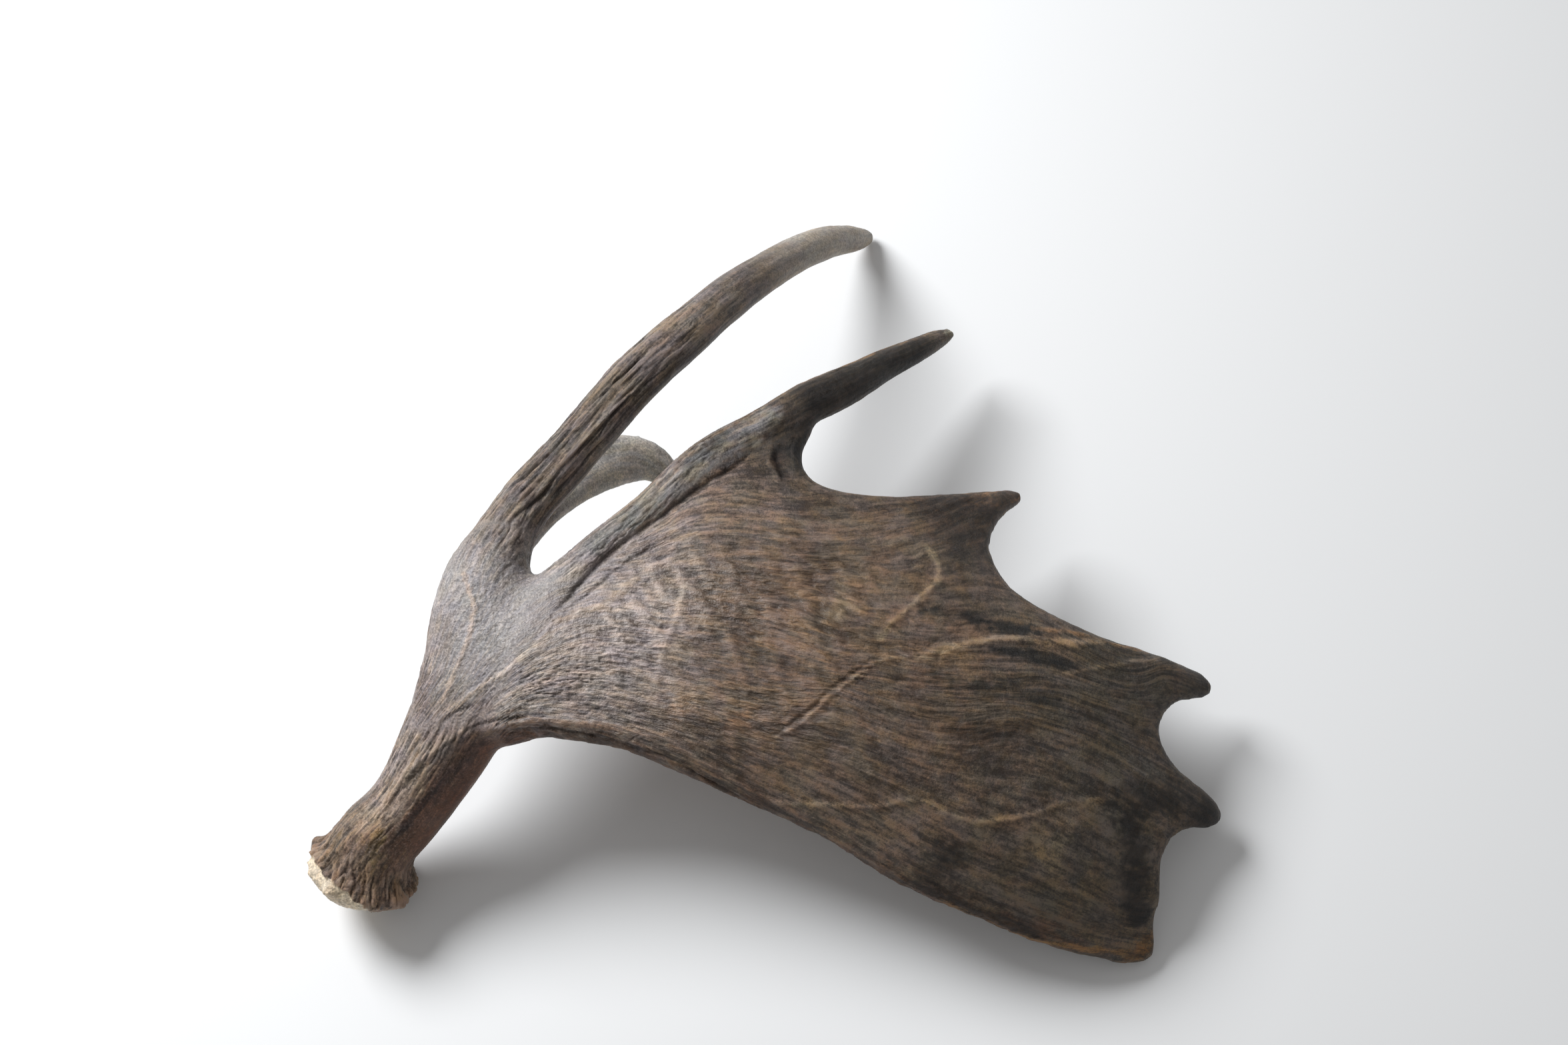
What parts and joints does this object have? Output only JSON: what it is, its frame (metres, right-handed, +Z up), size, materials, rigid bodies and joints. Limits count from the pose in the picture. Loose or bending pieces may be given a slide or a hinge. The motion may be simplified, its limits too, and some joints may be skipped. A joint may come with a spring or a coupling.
{
  "type": "moose antler",
  "caption": "Shed moose antler with a knobbed burr, a stout beam, two brow tines and a broad palm with pointed edge, lying on its hollow side.",
  "frame": {"origin": "middle of the antler's bounding box on the surface it lies on", "axes": "+Z up from the surface, +X along the palm from the burr to the palm's points, +Y towards the tip of the long brow tine"},
  "size_m": [0.5848, 0.5468, 0.157],
  "materials": {
    "beam_bone": "satin, ridged and beaded antler bone, paler and yellowish at the burr",
    "palm_bone": "satin, finely grained dark brown antler bone with grooved veins",
    "brow_bone": "satin, deeply furrowed brown antler bone",
    "pale_bone": "matt, weathered grey antler bone",
    "tine_bone": "satin, smooth brown antler bone with a paler tip"
  },
  "bodies": {
    "root": {"beam": "beam_bone", "palm": "palm_bone", "long_brow_tine": "brow_bone", "short_brow_tine": "pale_bone", "upper_palm_tine": "tine_bone"}
  },
  "joints": []
}
